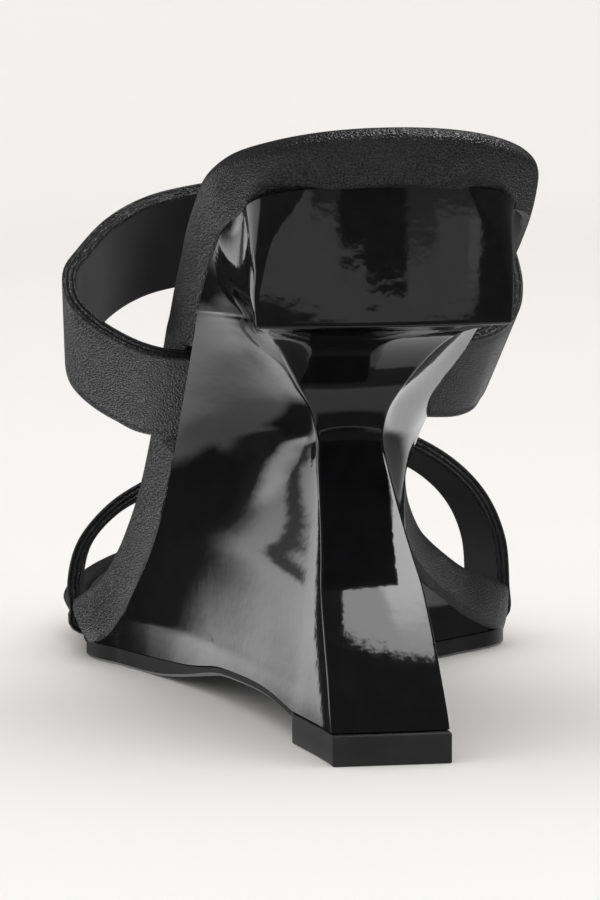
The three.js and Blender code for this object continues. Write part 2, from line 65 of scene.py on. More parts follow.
def smooth(at, low, high):
    t = min(max((at - low) / (high - low), 0.0), 1.0)
    return t * t * (3 - 2 * t)


def mix(a, b, t):
    return a + (b - a) * t


def gridPiece(name, across, along, place, sharp=50, closed=True):
    # a grid whose points are moved one by one, with the seams and ends where they meet sewn together
    bm = bmesh.new()
    bm.loops.layers.uv.new("surface")
    bmesh.ops.create_grid(bm, x_segments=across, y_segments=along, size=1.0, calc_uvs=True)
    for vert in bm.verts:
        column = round((vert.co.x + 1) / 2 * across)
        row = round((vert.co.y + 1) / 2 * along)
        vert.co = place(column, row)
    bmesh.ops.remove_doubles(bm, verts=bm.verts, dist=1e-6)
    if closed:
        bmesh.ops.holes_fill(bm, edges=[edge for edge in bm.edges if edge.is_boundary], sides=0)
        bmesh.ops.recalc_face_normals(bm, faces=bm.faces)
    return finishPiece(name, bm, sharp)


def finishPiece(name, bm, sharp):
    for face in bm.faces:
        face.smooth = True
    for edge in bm.edges:
        if len(edge.link_faces) == 2 and edge.calc_face_angle(0) > math.radians(sharp):
            edge.smooth = False
    mesh = bpy.data.meshes.new(name)
    bm.to_mesh(mesh)
    bm.free()
    piece = bpy.data.objects.new(name, mesh)
    scene.collection.objects.link(piece)
    return piece


# The bed: its outline in plan, and its height from the ball to the seat
bed = {
    "length": 0.218,
    "seatHeight": 0.112,
    "forefootHeight": 0.0109,
    "toeSpring": 0.005,
    "springFrom": 0.8,
    "rimAtHeel": 0.009,
    "rimAtToe": 0.0072,
    "rimThins": (0.35, 0.65),
    "heelRound": (0.026, 2.15),
    "toeRound": (0.054, 2.3),
    "seamInset": (0.0032, 0.0014),  # outer side, inner side
    "seamHeelCut": (0.0032, 0.0015),  # inwards, down
    "heelCorner": (0.01, 0.009),
    "cup": 0.0016,
    "cupFades": (0.25, 0.7),
    "slopeStep": 0.001,  # over which the bed's slope is taken
    "levelEdge": 1.8,  # the rim is upright at the back, and square to the bed after so many heel rounds
    # along the bed, width, share of the width on the outer side
    "outline": [
        (0, 0.0605, 0.495), (0.12, 0.0605, 0.493), (0.2, 0.0602, 0.498), (0.28, 0.05602, 0.529),
        (0.36, 0.05101, 0.576), (0.44, 0.05018, 0.584), (0.5, 0.05382, 0.555), (0.56, 0.06221, 0.5),
        (0.61, 0.07181, 0.45), (0.67, 0.08058, 0.42), (0.72, 0.0835, 0.413), (0.8, 0.0835, 0.415),
        (1, 0.07849, 0.4),
    ],
    # how far the leather swells beside the toe strap: place, outer side, inner side
    "swell": [
        (0.12, 0, 0), (0.133, 0.0006, 0.0008), (0.138, 0.002, 0.003), (0.1425, 0.003, 0.0049),
        (0.148, 0.0032, 0.0056), (0.153, 0.002, 0.005), (0.16, 0.0007, 0.003), (0.166, 0.0003, 0.0016),
        (0.178, 0.0001, 0.0004), (0.19, 0, 0),
    ],
    # along the bed, height between the ball, 0, and the seat, 1
    "rise": [
        (0, 1.004), (0.035, 0.975), (0.078, 0.941), (0.147, 0.868), (0.216, 0.776), (0.284, 0.66),
        (0.353, 0.525), (0.422, 0.382), (0.491, 0.253), (0.55, 0.156), (0.606, 0.078), (0.66, 0.022),
        (0.72, 0), (1, 0),
    ],
}


def roundOff(distance, size):
    length, squareness = size
    t = min(max(1 - distance / length, 0.0), 1.0)
    return (1 - t ** squareness) ** (1 / squareness)


def valueAt(rows, at, column):  # the table's value, held beyond its first and last row
    return curveAt(rows, min(max(at, rows[0][0]), rows[-1][0]), column)


def swellAt(y, column):
    return valueAt(bed["swell"], y, column)


def rimSides(y):
    width = curveAt(bed["outline"], y / bed["length"], 1)
    outerShare = curveAt(bed["outline"], y / bed["length"], 2)
    half = width / 2 * roundOff(y, bed["heelRound"]) * roundOff(bed["length"] - y, bed["toeRound"])
    centre = width * (0.5 - outerShare)
    return centre - half - swellAt(y, 1), centre + half + swellAt(y, 2)


def heelCorner(y):  # the seam cuts the heel's corners more than the rim does
    place, reach = bed["heelCorner"]
    return math.exp(-((y - place) / reach) ** 2)


def seamSides(y):
    outer, inner = rimSides(y)
    return outer + bed["seamInset"][0], inner - bed["seamInset"][1]


def springAt(y):
    start = bed["springFrom"]
    return bed["toeSpring"] * max(0.0, (y / bed["length"] - start) / (1 - start)) ** 2


def bedHeight(y):
    rise = curveAt(bed["rise"], y / bed["length"])
    return bed["forefootHeight"] + (bed["seatHeight"] - bed["forefootHeight"]) * rise + springAt(y)


def bedThickness(y):
    return mix(bed["rimAtHeel"], bed["rimAtToe"], smooth(y / bed["length"], *bed["rimThins"]))


def bedLean(y):
    step = bed["slopeStep"]
    drop = max(0.0, bedHeight(y - step) - bedHeight(y + step)) / (step * 2)
    return math.atan(drop) * smooth(y, 0, bed["heelRound"][0] * bed["levelEdge"])


def bedPoint(x, y, h):  # a point on the bed's top, raised square to the bed
    lean = bedLean(y)
    return Vector((x, y + h * math.sin(lean) - shoe["rimBehindLift"], bedHeight(y) + h * math.cos(lean)))


# the bed's underside along the middle, to look up how far it reaches at a height
undersideLine = [bedPoint(0, y, -bedThickness(y)) for y in np.linspace(0, bed["length"] * 0.75, 600)]
undersideY = np.array([p.y + shoe["rimBehindLift"] for p in undersideLine])
undersideZ = np.array([p.z for p in undersideLine])


def undersideReach(z):
    return float(np.interp(-z, -undersideZ, undersideY))


def wedgeTop(y):
    return float(np.interp(y, undersideY, undersideZ)) - shoe["gap"]


# The outline as pairs of points across the shoe, and the direction out of it at each
def outlineStations(count, sides, start, end, roundStart=True):
    rows = []
    for i in range(count + 1):
        t = i / count
        rows.append(mix(start, end, (1 - math.cos(math.pi * t)) / 2 if roundStart else math.sin(math.pi * t / 2)))
    outer = [Vector((sides(y)[0], y)) for y in rows]
    inner = [Vector((sides(y)[1], y)) for y in rows]
    loop = outer + inner[::-1]

    def outward(i):
        a = b = i
        while (loop[a] - loop[i]).length < 1e-7:
            a = (a - 1) % len(loop)
        while (loop[b] - loop[i]).length < 1e-7:
            b = (b + 1) % len(loop)
        along = (loop[b] - loop[a]).normalized()
        return Vector((-along.y, along.x))

    out = [outward(i) for i in range(len(loop))]
    return list(zip(outer, out[:count + 1])), list(zip(inner, out[count + 1:][::-1]))


# Toe strap, which the footbed's leather makes room for
toe = {
    "place": 0.152,
    "width": 0.018,
    "endWidth": 0.018,
    "taper": 0.08,
    "taperFrom": 0.006,
    "middle": 0.008,
    "skew": (0.003, 0.0035),
    "out": (0.0, 0.001),  # how far the strap stands out beside the plain rim
    "rise": 0.0415,
    "topTilt": math.radians(16),
    "over": [
        (-1, 0.14), (-1.01, 0.28), (-0.955, 0.45), (-0.79, 0.61), (-0.57, 0.72), (-0.2, 0.86), (0.15, 0.97),
        (0.42, 0.975), (0.643, 0.885), (0.81, 0.76), (0.92, 0.61), (0.985, 0.42), (1, 0.2),
    ],
}

# Footbed: a leather-covered board, with the leather rolled round its edge
footbed = {
    "stations": 190,
    "rollSteps": 26,
    "undersideColumns": 3,
    "recessColumns": 4,
    # step, share of the seam's inset, inset, share of the thickness below the bed, depth below the bed
    "roll": [
        (0, 1, 0, 1, 0), (1, 0.62, 0, 0.82, 0), (2, 0.28, 0, 0.6, 0), (3, 0.06, 0, 0.4, 0),
        (4, 0, 0, 0.25, 0), (5, 0.2, 0, 0.09, 0), (6, 0, 0.0021, 0, 0), (7, 0, 0.004, 0, 0.0003),
        (8, 0, 0.005, 0, 0.0018),
    ],
    "gateFades": (0.5, 0.9),  # with how far the outline has turned to the side
    # where a strap goes in under the leather: place on the outer and the inner side, half width, lift, softness
    "strapGates": [(0.0755, 0.0725, 0.0086, 0.0029, 0.0035), (0.155, 0.1555, 0.0093, 0.0029, 0.001)],
    # how far the leather hangs lower behind the toe strap: place, outer side, inner side
    "drop": [
        (0.122, 0, 0), (0.132, 0.0008, 0.0005), (0.139, 0.0026, 0.0018), (0.1425, 0.0028, 0.0024),
        (0.146, 0.0019, 0.0019), (0.15, 0.0011, 0.0011), (0.158, 0, 0),
    ],
    "pullRun": 0.008,
    # soft pulls of the leather: place along the bed, side, slant, width, depth
    "pulls": [
        (0.118, 1, 0.5, 0.0045, 0.00035), (0.131, 1, 0.6, 0.0035, 0.0003), (0.143, -1, -0.5, 0.003, 0.0003),
        (0.166, -1, 0.6, 0.003, 0.0003), (0.048, -1, 0.4, 0.006, 0.00025), (0.169, 1, -0.5, 0.003, 0.00025),
    ],
}


def gateAt(y, side):
    lift = share = 0.0
    for outerPlace, innerPlace, half, height, soft in footbed["strapGates"]:
        near = 1 - smooth(abs(y - (outerPlace, innerPlace)[side]), half, half + soft)
        lift, share = max(lift, height * near), max(share, near)
    return lift, share


outerRim, innerRim = outlineStations(footbed["stations"], rimSides, 0.0, bed["length"])


def insetPoint(station, inset):
    point, out = station
    return point - out * inset


def rollPoint(side, row, step):
    point, out = (outerRim, innerRim)[side][row]
    at = step / footbed["rollSteps"] * (len(footbed["roll"]) - 1)
    seamShare, inset, thick, depth = (curveAt(footbed["roll"], at, column) for column in range(1, 5))
    seamInset = mix(*bed["seamInset"], min(max((1 + out.x) / 2, 0.0), 1.0))
    seamInset += bed["seamHeelCut"][0] * heelCorner(point.y)
    for place, pullSide, slant, width, deep in footbed["pulls"]:
        if (pullSide > 0) == (side == 1):
            off = (point.y - place - slant * thick * footbed["pullRun"]) / width
            inset += deep * math.exp(-off * off) * math.sin(math.pi * min(1.0, step / footbed["rollSteps"])) ** 2
    lift, gate = gateAt(point.y, side)
    inset += gate * max(0.0, swellAt(point.y, side + 1) - toe["out"][side])
    plan = point - out * (seamShare * seamInset + inset)
    thickness = bedThickness(plan.y)
    lift *= smooth(abs(out.x), *footbed["gateFades"])
    lift -= valueAt(footbed["drop"], point.y, side + 1) * (1 - gate)
    below = thick * (thickness - lift + bed["seamHeelCut"][1] * heelCorner(point.y)) + depth
    return plan, -below


def footbedPoint(column, row):
    # across the underside, up the inner side's roll, across the recess for the sock, down the outer side's roll
    under, steps, recess = footbed["undersideColumns"], footbed["rollSteps"], footbed["recessColumns"]
    if column <= under or column == footbedAround:
        t = column / under if column <= under else 0.0
        a, low = rollPoint(0, row, 0)
        b, lowB = rollPoint(1, row, 0)
        return bedPoint(mix(a.x, b.x, t), mix(a.y, b.y, t), mix(low, lowB, t))
    column -= under
    if column <= steps:
        plan, h = rollPoint(1, row, column)
        return bedPoint(plan.x, plan.y, h)
    column -= steps
    if column <= recess:
        t = column / recess
        a, h = rollPoint(1, row, steps)
        b, hB = rollPoint(0, row, steps)
        dish = cupAt(mix(a.y, b.y, t)) * 4 * t * (1 - t)
        return bedPoint(mix(a.x, b.x, t), mix(a.y, b.y, t), mix(h, hB, t) - dish)
    plan, h = rollPoint(0, row, steps + recess - column)
    return bedPoint(plan.x, plan.y, h)


def cupAt(y):
    return bed["cup"] * (1 - smooth(y / bed["length"], *bed["cupFades"]))


footbedAround = footbed["undersideColumns"] + footbed["rollSteps"] * 2 + footbed["recessColumns"]
rim = gridPiece("footbed_leather", footbedAround, footbed["stations"], footbedPoint)
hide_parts("footbed")
print("footbed:", len(rim.data.polygons), "faces")

# Sock: the lining leather on the bed
sock = {
    "border": 0.0053, "edge": 0.0004, "thickness": 0.0012, "drop": 0.0003, "undersideColumns": 3, "columns": 30,
}


def sockPoint(column, row):
    # across the underside, up the inner edge, across the top, down the outer edge
    below = sock["drop"] + sock["thickness"]
    edge = [insetPoint(rimLine[row], sock["border"]) for rimLine in (outerRim, innerRim)]
    bevelled = [insetPoint(rimLine[row], sock["border"] + sock["edge"]) for rimLine in (outerRim, innerRim)]
    under, columns = sock["undersideColumns"], sock["columns"]
    if column <= under:
        pair, t, depth, dished = edge, column / under, below, True
    elif column == under + 1:
        pair, t, depth, dished = edge, 1.0, sock["drop"] + sock["edge"], False
    elif column <= under + 2 + columns:
        pair, t, depth, dished = bevelled, 1 - (column - under - 2) / columns, sock["drop"], True
    elif column == under + 3 + columns:
        pair, t, depth, dished = edge, 0.0, sock["drop"] + sock["edge"], False
    else:
        pair, t, depth, dished = edge, 0.0, below, False
    plan = pair[0].lerp(pair[1], t)
    dish = cupAt(plan.y) * 4 * t * (1 - t) if dished else 0.0
    return bedPoint(plan.x, plan.y, -depth - dish)


sockAround = sock["undersideColumns"] + sock["columns"] + 4
sockPiece = gridPiece("insole_lining", sockAround, footbed["stations"], sockPoint)
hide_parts("insole_sock")
print("sock:", len(sockPiece.data.polygons), "faces")

# Outsole: thin at the waist, thicker under the ball
sole = {
    "start": 0.0303,
    "tip": 0.2151,
    "waist": 0.0015,
    "forefoot": 0.0034,
    "liftHeight": 0.0055,
    "inset": 0.0006,
    "edgeRound": 0.0005,
    "columns": 4,
    "rows": 160,
    "archRise": 0.0035,
    "treadStart": 0.56,
    "bump": [(0, 0), (0.2, 0.75), (0.45, 1), (0.57, 0.93), (0.78, 0.32), (0.91, 0.04), (1, 0)],
}


def archShare(y):
    return min(max((y - sole["start"]) / (bed["length"] * sole["treadStart"] - sole["start"]), 0.0), 1.0)


def soleBottom(y):
    share = archShare(y)
    fall = (sole["liftHeight"] - sole["waist"]) * (1 - share)
    return fall + sole["archRise"] * curveAt(sole["bump"], share) + springAt(y)


def soleTop(y):
    return soleBottom(y) + mix(sole["waist"], sole["forefoot"], smooth(archShare(y), 0.6, 1))


# Wedge: block under the seat, cove and recess, and the column down to the lift
wedge = {
    "flankLength": 0.132,
    "flankShortest": 0.012,
    "length": 0.14,
    "edgeRound": 0.0006,
    "flankColumns": 72,
    "backColumns": 30,
    "cornerColumns": 8,
    "lowerRows": 120,
    "edgeRows": 4,
    "blockRows": 44,
    "undersideEdge": (0.994, 1.022),  # levels between which the block's lower edge is rounded
    "blockUnderside": 0.0766,
    "hollowLean": 1.5,
    "footLevel": 0.04,  # below this height the levels follow the sole
    # height, depth of the back face, half width, flare of the flanks, bow of the back face, hollow of the flanks
    "sections": [
        (0.00339, 0.002, 0.01065, 1.25, 0.0003, 0), (0.00821, 0.00441, 0.01056, 1.3, 0.0006, 0),
        (0.01399, 0.00788, 0.01024, 1.4, 0.0009, 0), (0.02098, 0.01291, 0.00987, 1.48, 0.0011, 0),
        (0.0286, 0.019, 0.00927, 1.5, 0.0012, 0), (0.03376, 0.02355, 0.0084, 1.55, 0.0011, 0),
        (0.03901, 0.0284, 0.00761, 1.55, 0.001, 0), (0.046, 0.0349, 0.00674, 1.55, 0.0008, 0),
        (0.05014, 0.0384, 0.00628, 1.55, 0.0006, 0), (0.054, 0.0405, 0.00605, 1.55, 0.0003, 0),
        (0.05897, 0.0405, 0.00722, 1.5, 0.00002, 0), (0.06394, 0.03857, 0.01022, 1.4, 0.00022, 0.0008),
        (0.06892, 0.03357, 0.0134, 1.3, 0.00068, 0.0019), (0.07253, 0.02703, 0.01607, 1.2, 0.00126, 0.0026),
        (0.0745, 0.02009, 0.01849, 1.15, 0.00194, 0.0034), (0.07561, 0.01278, 0.02041, 1.15, 0.00259, 0.0042),
        (0.07626, 0.00777, 0.02175, 1.15, 0.00309, 0.0048), (0.0766, 0.0045, 0.02275, 1.15, 0.0035, 0.005),
    ],
    # height, half width, flare and hollow of the block, and how far its corners are rounded
    "block": [
        (0.0766, 0.02275, 1.15, 0.005, 0.0006), (0.07802, 0.02284, 1.15, 0.0042, 0.0007),
        (0.08191, 0.02321, 1.15, 0.0019, 0.001), (0.08545, 0.02343, 1.15, 0.0009, 0.0018),
        (0.09076, 0.02377, 1.15, 0.0003, 0.0036), (0.09607, 0.02389, 1.12, 0, 0.0062),
        (0.10315, 0.02343, 1.1, 0, 0.0095), (0.11554, 0.02229, 1.1, 0, 0.0115),
    ],
    "blockBack": 0.0045,
    "blockBow": 0.0035,
    # hollows of the outer flank: y, z, length, width, tilt, depth
    "hollows": [(0.0125, 0.0815, 0.0085, 0.0019, 0.42, 0.0006)],
}


def wedgeBase(y):
    return (soleTop(y) if y > sole["start"] else sole["liftHeight"]) + shoe["gap"]


def sectionRows():  # the sections with the way walked along them in front
    rows, run, last = [], 0.0, None
    for section in wedge["sections"]:
        point = Vector(section[:3])
        if last is not None:
            run += (point - last).length
        last = point
        rows.append((run, *section))
    return rows


# levels are measured along the sections, from the lift's top to the block's underside
lowerSections = sectionRows()
levelStart = next(s for s in np.linspace(0, 0.01, 4000) if curveAt(lowerSections, s, 1) >= wedgeBase(0))
levelEnd = lowerSections[-1][0]


def flankSides(y, z, back, half, flare, hollow):
    outer, inner = seamSides(y)
    reach = max(back + wedge["flankShortest"], min(undersideReach(z), wedge["flankLength"]))
    t = min(max((y - back) / (reach - back), 0.0), 1.0)
    flared = t ** flare
    drawn = hollow * math.sin(math.pi * t ** wedge["hollowLean"])
    return mix(-half, outer, flared) + drawn, mix(half, inner, flared) - drawn


def levelOf(v):
    # v from 0 at the foot to 1 at the block's underside, and on to 2 at the seat
    if v <= 1:
        at = mix(levelStart, levelEnd, v)
        height, back, half, flare, bow, hollow = (curveAt(lowerSections, at, c) for c in range(1, 7))
        fade = 1 - smooth(height, wedgeBase(0), wedge["footLevel"])

        def heightAt(y):
            return height + (wedgeBase(y) - wedgeBase(0)) * fade

        low, high = back, wedge["length"]  # where the level runs out under the footbed
        for _ in range(24):
            middle = (low + high) / 2
            if wedgeTop(middle) > heightAt(middle):
                low = middle
            else:
                high = middle
        return back, bow, low, heightAt, lambda z: (half, flare, hollow, wedge["edgeRound"])
    end = undersideReach(wedge["blockUnderside"] + shoe["gap"])

    def heightAt(y):
        return mix(wedge["blockUnderside"], wedgeTop(min(y, end)), v - 1)

    def shape(z):
        return tuple(curveAt(wedge["block"], z, c) for c in range(1, 5))

    return wedge["blockBack"], wedge["blockBow"], end, heightAt, shape


levelCache = {}


def wedgePoint(u, v):
    # u from -2 at the seam on the outer side, -1 and 1 at the back edges, to 2 at the seam on the inner side
    if v not in levelCache:
        levelCache[v] = levelOf(v)
    back, bow, end, heightAt, shape = levelCache[v]
    t = max(abs(u) - 1, 0.0)
    across = min(max((u + 1) / 2, 0.0), 1.0)
    y = mix(back, end, t)
    bowed = y + bow * (1 - t) * (2 * across - 1) ** 2
    z = heightAt(bowed)
    half, flare, hollow, _ = shape(z)
    outer, inner = flankSides(y, z, back, half, flare, hollow)
    x = mix(outer, inner, across)
    if u < -1:
        for centreY, centreZ, length, width, tilt, depth in wedge["hollows"]:
            dy, dz = bowed - centreY, z - centreZ
            along = (dz * math.cos(tilt) - dy * math.sin(tilt)) / length
            off = (dy * math.cos(tilt) + dz * math.sin(tilt)) / width
            x += depth * math.exp(-along * along * along * along - off * off)
    return Vector((x, bowed - shoe["rimBehindLift"], z))


def rounded(point, a, b, c, t):
    return point(a) * (1 - t) ** 2 + point(b) * 2 * t * (1 - t) + point(c) * t * t


def wedgeColumn(column, v):
    flankCount, backCount, corner = wedge["flankColumns"], wedge["backColumns"], wedge["cornerColumns"]
    if v not in levelCache:
        levelCache[v] = levelOf(v)
    back, _, end, heightAt, shape = levelCache[v]
    half, _, _, rounding = shape(heightAt(back))
    onFlank = rounding / max(end - back, 0.01)
    onBack = rounding / half
    if column > wedgeAround:
        column = 0
    mirrored = column > wedgeAround / 2
    if mirrored:
        column = wedgeAround - column
    sign = 1 if mirrored else -1
    if column < flankCount:
        return wedgePoint(sign * mix(2, 1 + onFlank, column / flankCount), v)
    if column <= flankCount + corner:
        t = (column - flankCount) / corner
        return rounded(lambda u: wedgePoint(sign * u, v), 1 + onFlank, 1, 1 - onBack, t)
    share = (column - flankCount - corner) / backCount
    return wedgePoint(sign * mix(1 - onBack, -1 + onBack, share), v)


wedgeAround = wedge["flankColumns"] * 2 + wedge["backColumns"] + wedge["cornerColumns"] * 2
wedgeUp = wedge["lowerRows"] + wedge["edgeRows"] + wedge["blockRows"] + 2


def wedgeRow(column, row):
    if row in (0, wedgeUp):  # the caps run in to the middle
        beside = 1 if row == 0 else row - 1
        return (wedgeRow(column, beside) + wedgeRow(wedgeAround - column, beside)) / 2
    row -= 1
    below, above = wedge["undersideEdge"]
    if row < wedge["lowerRows"]:
        return wedgeColumn(column, mix(0, below, row / wedge["lowerRows"]))
    row -= wedge["lowerRows"]
    if row <= wedge["edgeRows"]:
        return rounded(lambda v: wedgeColumn(column, v), below, 1, above, row / wedge["edgeRows"])
    return wedgeColumn(column, mix(above, 2, (row - wedge["edgeRows"]) / wedge["blockRows"]))


wedgePiece = gridPiece("wedge_lacquered", wedgeAround + 1, wedgeUp, wedgeRow, 60)
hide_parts("wedge_heel")
print("wedge:", len(wedgePiece.data.polygons), "faces")


def soleSides(y):
    if y < wedge["flankLength"]:
        height, back, half, flare, _, hollow = lowerSections[0][1:]
        outer, inner = flankSides(y, height, back, half, flare, hollow)
    else:
        outer, inner = seamSides(y)
    middle, halfWidth = (outer + inner) / 2, (inner - outer) / 2 - sole["inset"]
    halfWidth *= roundOff(sole["tip"] - y, bed["toeRound"]) / roundOff(bed["length"] - y, bed["toeRound"])
    return middle - halfWidth, middle + halfWidth


outerSole, innerSole = outlineStations(sole["rows"], soleSides, sole["start"], sole["tip"], False)


def solePoint(column, row):
    # across the tread, up the inner edge, across the top, down the outer edge
    edge = [line[row][0] for line in (outerSole, innerSole)]
    low = [insetPoint(line[row], sole["edgeRound"]) for line in (outerSole, innerSole)]
    columns, raised = sole["columns"], 0.0
    if column <= columns:
        plan = low[0].lerp(low[1], column / columns)
    elif column == columns + 1:
        plan, raised = edge[1], sole["edgeRound"]
    elif column <= columns * 2 + 2:
        plan = edge[1].lerp(edge[0], (column - columns - 2) / columns)
        return Vector((plan.x, plan.y - shoe["rimBehindLift"], soleTop(plan.y)))
    elif column == columns * 2 + 3:
        plan, raised = edge[0], sole["edgeRound"]
    else:
        plan = low[0]
    return Vector((plan.x, plan.y - shoe["rimBehindLift"], soleBottom(plan.y) + raised))


solePiece = gridPiece("sole_leather_piece", sole["columns"] * 2 + 4, sole["rows"], solePoint, 40)
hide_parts("outsole")
print("sole:", len(solePiece.data.polygons), "faces")

# Heel lift: the CAD block with its edges taken off
liftPiece = {"edge": 0.00035, "segments": 3}
bm = bmesh.new()
bm.from_mesh(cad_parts["heel_lift"].data)
bmesh.ops.remove_doubles(bm, verts=bm.verts, dist=1e-6)
bmesh.ops.dissolve_limit(bm, angle_limit=math.radians(2), verts=bm.verts, edges=bm.edges)
crisp = [e for e in bm.edges if e.calc_face_angle(0) > math.radians(30)]
bmesh.ops.bevel(
    bm, geom=crisp, offset=liftPiece["edge"], offset_type="OFFSET", segments=liftPiece["segments"], profile=0.5,
    affect="EDGES", material=-1,
)
lift = finishPiece("lift_block", bm, 30)
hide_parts("heel_lift")
print("lift:", len(lift.data.polygons), "faces")

# Straps: two layers of leather round a thin filler, with a pressed line beside each edge
strap = {
    "thickness": 0.0026,
    "tuck": 0.006,
    "steps": 170,
    "pathSteps": 40,
    "faceColumns": 22,
    "crowding": 0.35,  # share of the columns that keeps even steps; the rest crowd to the edges
    # across the edge, from the outer face to the lining: share of half the thickness, how far it draws in
    "edge": [
        (1, 0.0009), (0.97, 0.00045), (0.85, 0.00012), (0.66, 0), (0.5, 0.00014), (0.4, 0.00042), (0.3, 0.00042),
        (0.2, 0.00016), (0, 0.00006), (-0.2, 0.00016), (-0.3, 0.00042), (-0.4, 0.00042), (-0.5, 0.00016),
        (-0.66, 0.00004), (-0.85, 0.00016), (-0.97, 0.00045), (-1, 0.0009),
    ],
    "pressedLine": (0.0017, 0.0005, 0.00016),  # from the edge, half width, depth
}


def pathPoints(path, count):
    # a smooth line through the points, walked in even steps
    points = [path[0] * 2 - path[1], *path, path[-1] * 2 - path[-2]]
    fine = []
    for i in range(1, len(points) - 2):
        p0, p1, p2, p3 = points[i - 1:i + 3]
        d0, d1, d2 = (math.sqrt((b - a).length) for a, b in ((p0, p1), (p1, p2), (p2, p3)))
        startSlope = ((p1 - p0) / d0 - (p2 - p0) / (d0 + d1) + (p2 - p1) / d1) * d1
        endSlope = ((p2 - p1) / d1 - (p3 - p1) / (d1 + d2) + (p3 - p2) / d2) * d1
        for k in range(strap["pathSteps"]):
            t = k / strap["pathSteps"]
            fine.append(
                p1 * (2 * t ** 3 - 3 * t * t + 1) + startSlope * (t ** 3 - 2 * t * t + t)
                + p2 * (3 * t * t - 2 * t ** 3) + endSlope * (t ** 3 - t * t)
            )
    fine.append(path[-1])
    run = [0.0]
    for a, b in zip(fine, fine[1:]):
        run.append(run[-1] + (b - a).length)
    at = np.linspace(0, run[-1], count + 1)
    across, up = (np.interp(at, run, [p[axis] for p in fine]) for axis in (0, 1))
    return [Vector((float(x), float(y))) for x, y in zip(across, up)]


def strapPiece(name, shape):
    line = pathPoints(shape["path"], strap["steps"])
    half = strap["thickness"] / 2
    edge = strap["edge"]
    faces = strap["faceColumns"]
    edges = len(edge) - 1
    total = faces * 2 + edges * 2

    def sectionPoint(column, back, front):
        # outer face from the back edge to the front edge, round it, the lining back, and round the back edge
        lead = edge[0][1]
        if column <= faces:
            turn = math.cos(math.pi * column / faces)
            turn *= strap["crowding"] + (1 - strap["crowding"]) * abs(turn)
            along = mix(back + lead, front - lead, 0.5 - 0.5 * turn)
            near = min(along - back, front - along)
            inside, wide, deep = strap["pressedLine"]
            press = deep * math.exp(-((near - inside) / wide) ** 2)
            return half - press, along
        column -= faces
        if column <= edges:
            out, draw = edge[column]
            return out * half, front - draw
        column -= edges
        if column <= faces:
            return -half, mix(back + lead, front - lead, 1 - column / faces)
        column -= faces
        out, draw = edge[edges - column]
        return out * half, back + draw

    def place(column, row):
        t = row / strap["steps"]
        centre = line[row]
        run = (line[min(row + 1, strap["steps"])] - line[max(row - 1, 0)]).normalized()
        wave = math.sin(math.pi * t)
        tilt = mix(shape["endTilt"], shape["topTilt"], wave * wave)
        back = -shape["endWidth"] / 2
        front = mix(shape["endWidth"] / 2, shape["width"] - shape["endWidth"] / 2, wave)
        out, along = sectionPoint(column % total, back, front)
        shift = mix(*shape["skew"], smooth(centre.x, line[0].x, line[-1].x))
        draw = shape["taper"] * (along - back) / shape["width"] * smooth(centre.y, 0.0, shape["taperFrom"])
        up = centre.y + out * run.x
        forward = along + shift
        y = shape["anchor"][0] + up * math.sin(shape["stand"]) + forward * math.cos(tilt)
        z = shape["anchor"][1] + up * math.cos(shape["stand"]) - forward * math.sin(tilt)
        return Vector((mix(centre.x - out * run.y, shape["middle"], draw), y - shoe["rimBehindLift"], z))

    piece = gridPiece(name, total, strap["steps"], place, 75)
    surface = piece.data.uv_layers["surface"].data
    for face in piece.data.polygons:  # the side to the foot is lined
        column = sum(surface[i].uv.x for i in face.loop_indices) / face.loop_total * total
        if faces + edges < column < faces * 2 + edges:
            face.material_index = 1
    return piece


def undersidePoint(y):
    point = bedPoint(0, y, -bedThickness(y))
    return point.y + shoe["rimBehindLift"], point.z


instep = {
    "place": 0.0745,
    "width": 0.028,
    "endWidth": 0.023,
    "taper": 0.075,
    "taperFrom": 0.006,
    "span": 0.085,
    "rise": 0.0425,
    "middle": -0.004,
    "skew": (0.0013, -0.0026),
    "side": [
        [(0.22, 0.045), (0.47, 0.095), (0.79, 0.215), (0.97, 0.338), (1, 0.439)],
        [(0.3, 0.04), (0.62, 0.085), (0.88, 0.18), (0.985, 0.3), (1, 0.42)],
    ],
    "reach": (1.0, 0.955),
    "over": [(0.985, 0.518), (0.924, 0.608), (0.788, 0.766), (0.61, 0.883), (0.366, 0.953), (0, 1)],
}


def instepShape():
    anchor = undersidePoint(instep["place"])
    before = undersidePoint(instep["place"] - instep["endWidth"] / 2)
    after = undersidePoint(instep["place"] + instep["endWidth"] / 2)
    slope = math.atan2(before[1] - after[1], after[0] - before[0])
    seam = seamSides(anchor[0])
    tuck = strap["thickness"] / 2

    def side(corner, sign):
        way = 0 if sign < 0 else 1
        reach = instep["span"] / 2 * instep["reach"][way]
        bulge = instep["middle"] + sign * reach
        points = [Vector((corner - sign * strap["tuck"], tuck)), Vector((corner, tuck))]
        points += [Vector((mix(corner, bulge, out), rise * instep["rise"])) for out, rise in instep["side"][way]]
        points += [
            Vector((instep["middle"] + sign * share * reach, rise * instep["rise"]))
            for share, rise in instep["over"]
        ]
        return points

    path = side(seam[0], -1) + side(seam[1], 1)[:-1][::-1]
    return dict(instep, path=path, anchor=anchor, stand=slope, endTilt=slope, topTilt=slope)


instepPiece = strapPiece("instep_strap_leather", instepShape())
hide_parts("instep_strap")


